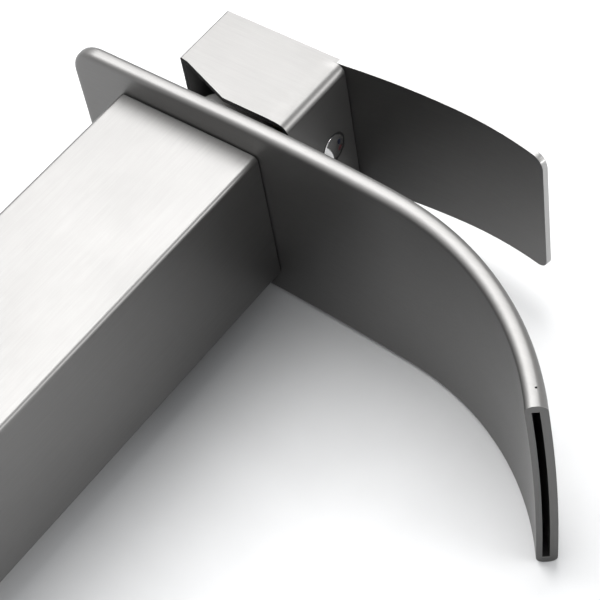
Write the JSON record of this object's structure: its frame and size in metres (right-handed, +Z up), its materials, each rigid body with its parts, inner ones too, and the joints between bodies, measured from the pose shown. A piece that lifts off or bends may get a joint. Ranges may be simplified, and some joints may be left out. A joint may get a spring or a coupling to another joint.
{
  "type": "single-lever waterfall basin tap",
  "caption": "Tall square-column basin tap with a flat hollow spout plate that curves down to a wide water slot, under a box-shaped handle with an arched lever.",
  "frame": {"origin": "middle of the foot's face that stands on the deck, between the two studs", "axes": "+Z up the column, +X the way the water runs out, +Y to the left of the spout"},
  "size_m": [0.1653, 0.0634, 0.351],
  "materials": {
    "chrome": "polished",
    "satin_chrome": "satin",
    "brass": "as cast and machined",
    "copper": "drawn tube",
    "steel": "zinc plated",
    "rubber": "matt",
    "white_plastic": "moulded",
    "grey_plastic": "moulded",
    "black_plastic": "moulded",
    "ceramic": "lapped",
    "red_enamel": "glossy",
    "blue_enamel": "glossy"
  },
  "bodies": {
    "tap_body": {"column_tube": "chrome", "base_block": "chrome", "base_gasket": "rubber", "mounting_studs": "steel", "deck_washer": "rubber", "clamp_plate": "steel", "stud_nuts": "brass", "tie_rods": "steel", "tie_nuts": "steel", "hot_riser_tube": "copper", "cold_riser_tube": "copper", "riser_o_rings": "rubber", "valve_body": "brass", "spout_shell": "chrome", "spout_lower_seal": "rubber", "spout_upper_seal": "rubber", "spout_clamp_nut": "brass", "cartridge_nut": "brass", "dome_o_ring": "rubber", "dome_cap": "satin_chrome", "cartridge_base": "white_plastic", "cartridge_port_seals": "rubber", "fixed_disc": "ceramic", "cartridge_housing": "grey_plastic", "cartridge_o_ring": "rubber"},
    "swivel": {"cartridge_rotor": "white_plastic", "pivot_pin": "steel"},
    "disc": {"moving_disc": "ceramic", "disc_carrier": "white_plastic"},
    "lever": {"stem": "steel", "handle_hood": "chrome", "lever_plate": "chrome", "handle_hub": "brass", "handle_set_screw": "steel", "index_button": "chrome", "button_ring": "black_plastic", "hot_mark": "red_enamel", "cold_mark": "blue_enamel"}
  },
  "joints": [
    {"name": "swivel_turn", "type": "hinge", "parent": "tap_body", "child": "swivel", "pos_m": [0, 0, 0.267], "axis": [0, 0, 1], "range_deg": [-45, 45]},
    {"name": "lever_lift", "type": "hinge", "parent": "swivel", "child": "lever", "pos_m": [0, 0, 0.267], "axis": [0, -1, 0], "range_deg": [0, 25]},
    {"name": "disc_slide", "type": "slide", "parent": "swivel", "child": "disc", "axis": [1, 0, 0], "range_m": [0, 0.0027]}
  ],
  "couplings": [
    {"joint": "disc_slide", "follows": "lever_lift", "m_per_rad": 0.006}
  ]
}
